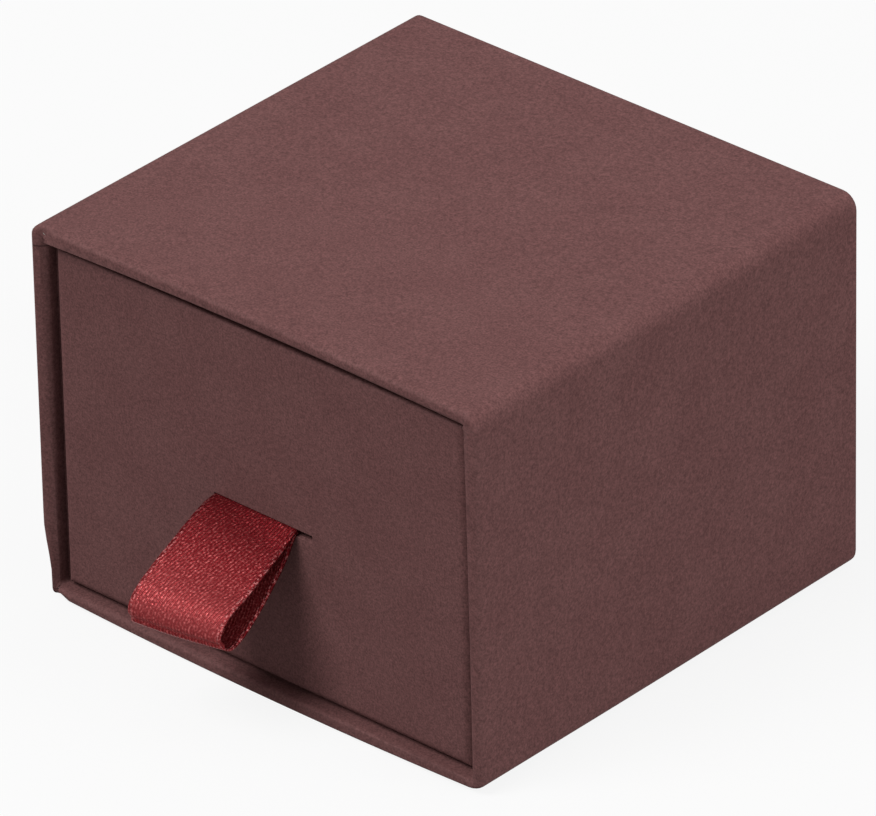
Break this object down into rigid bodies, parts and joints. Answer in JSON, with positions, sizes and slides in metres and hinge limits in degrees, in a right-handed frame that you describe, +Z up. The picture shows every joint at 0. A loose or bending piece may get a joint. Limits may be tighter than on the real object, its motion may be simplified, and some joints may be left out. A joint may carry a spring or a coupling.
{
  "type": "sliding drawer gift box",
  "caption": "Small rigid gift box: a paper-covered sleeve with a drawer that slides out of its open front, pulled by a folded satin ribbon.",
  "frame": {"origin": "centre of the sleeve's underside, on the table", "axes": "+Z up, the drawer opens towards -Y, +X to the right of someone facing the drawer"},
  "size_m": [0.065, 0.0748, 0.0475],
  "materials": {
    "covering_paper": "matt uncoated, deep dusty maroon, fine grain",
    "lining_paper": "matt uncoated, deep dusty maroon",
    "sleeve_greyboard": "raw greyboard",
    "drawer_greyboard": "raw greyboard",
    "gummed_tape": "brown gummed paper",
    "satin_ribbon": "wine red satin with a fine woven edge"
  },
  "bodies": {
    "sleeve": {"sleeve_folded_board": "sleeve_greyboard", "sleeve_left_board": "sleeve_greyboard", "sleeve_back_board": "sleeve_greyboard", "sleeve_corner_tapes": "gummed_tape", "sleeve_wrap": "covering_paper", "sleeve_back_sheet": "covering_paper", "sleeve_base_sheet": "covering_paper", "sleeve_lining": "lining_paper", "sleeve_back_lining": "lining_paper"},
    "drawer": {"drawer_front_board": "drawer_greyboard", "drawer_back_board": "drawer_greyboard", "drawer_left_board": "drawer_greyboard", "drawer_right_board": "drawer_greyboard", "drawer_bottom_board": "drawer_greyboard", "drawer_corner_tapes": "gummed_tape", "drawer_wrap": "covering_paper", "drawer_base_sheet": "covering_paper", "drawer_wall_lining": "lining_paper", "drawer_floor_lining": "lining_paper", "ribbon_tails": "satin_ribbon", "ribbon_anchor_tape": "gummed_tape"},
    "ribbon": {"ribbon_loop": "satin_ribbon"}
  },
  "joints": [
    {"name": "drawer_slide", "type": "slide", "parent": "sleeve", "child": "drawer", "axis": [0, -1, 0], "range_m": [0, 0.061]},
    {"name": "ribbon_swing", "type": "hinge", "parent": "drawer", "child": "ribbon", "pos_m": [0, -0.0309, 0.0221], "axis": [1, 0, 0], "range_deg": [-95, 30]}
  ]
}
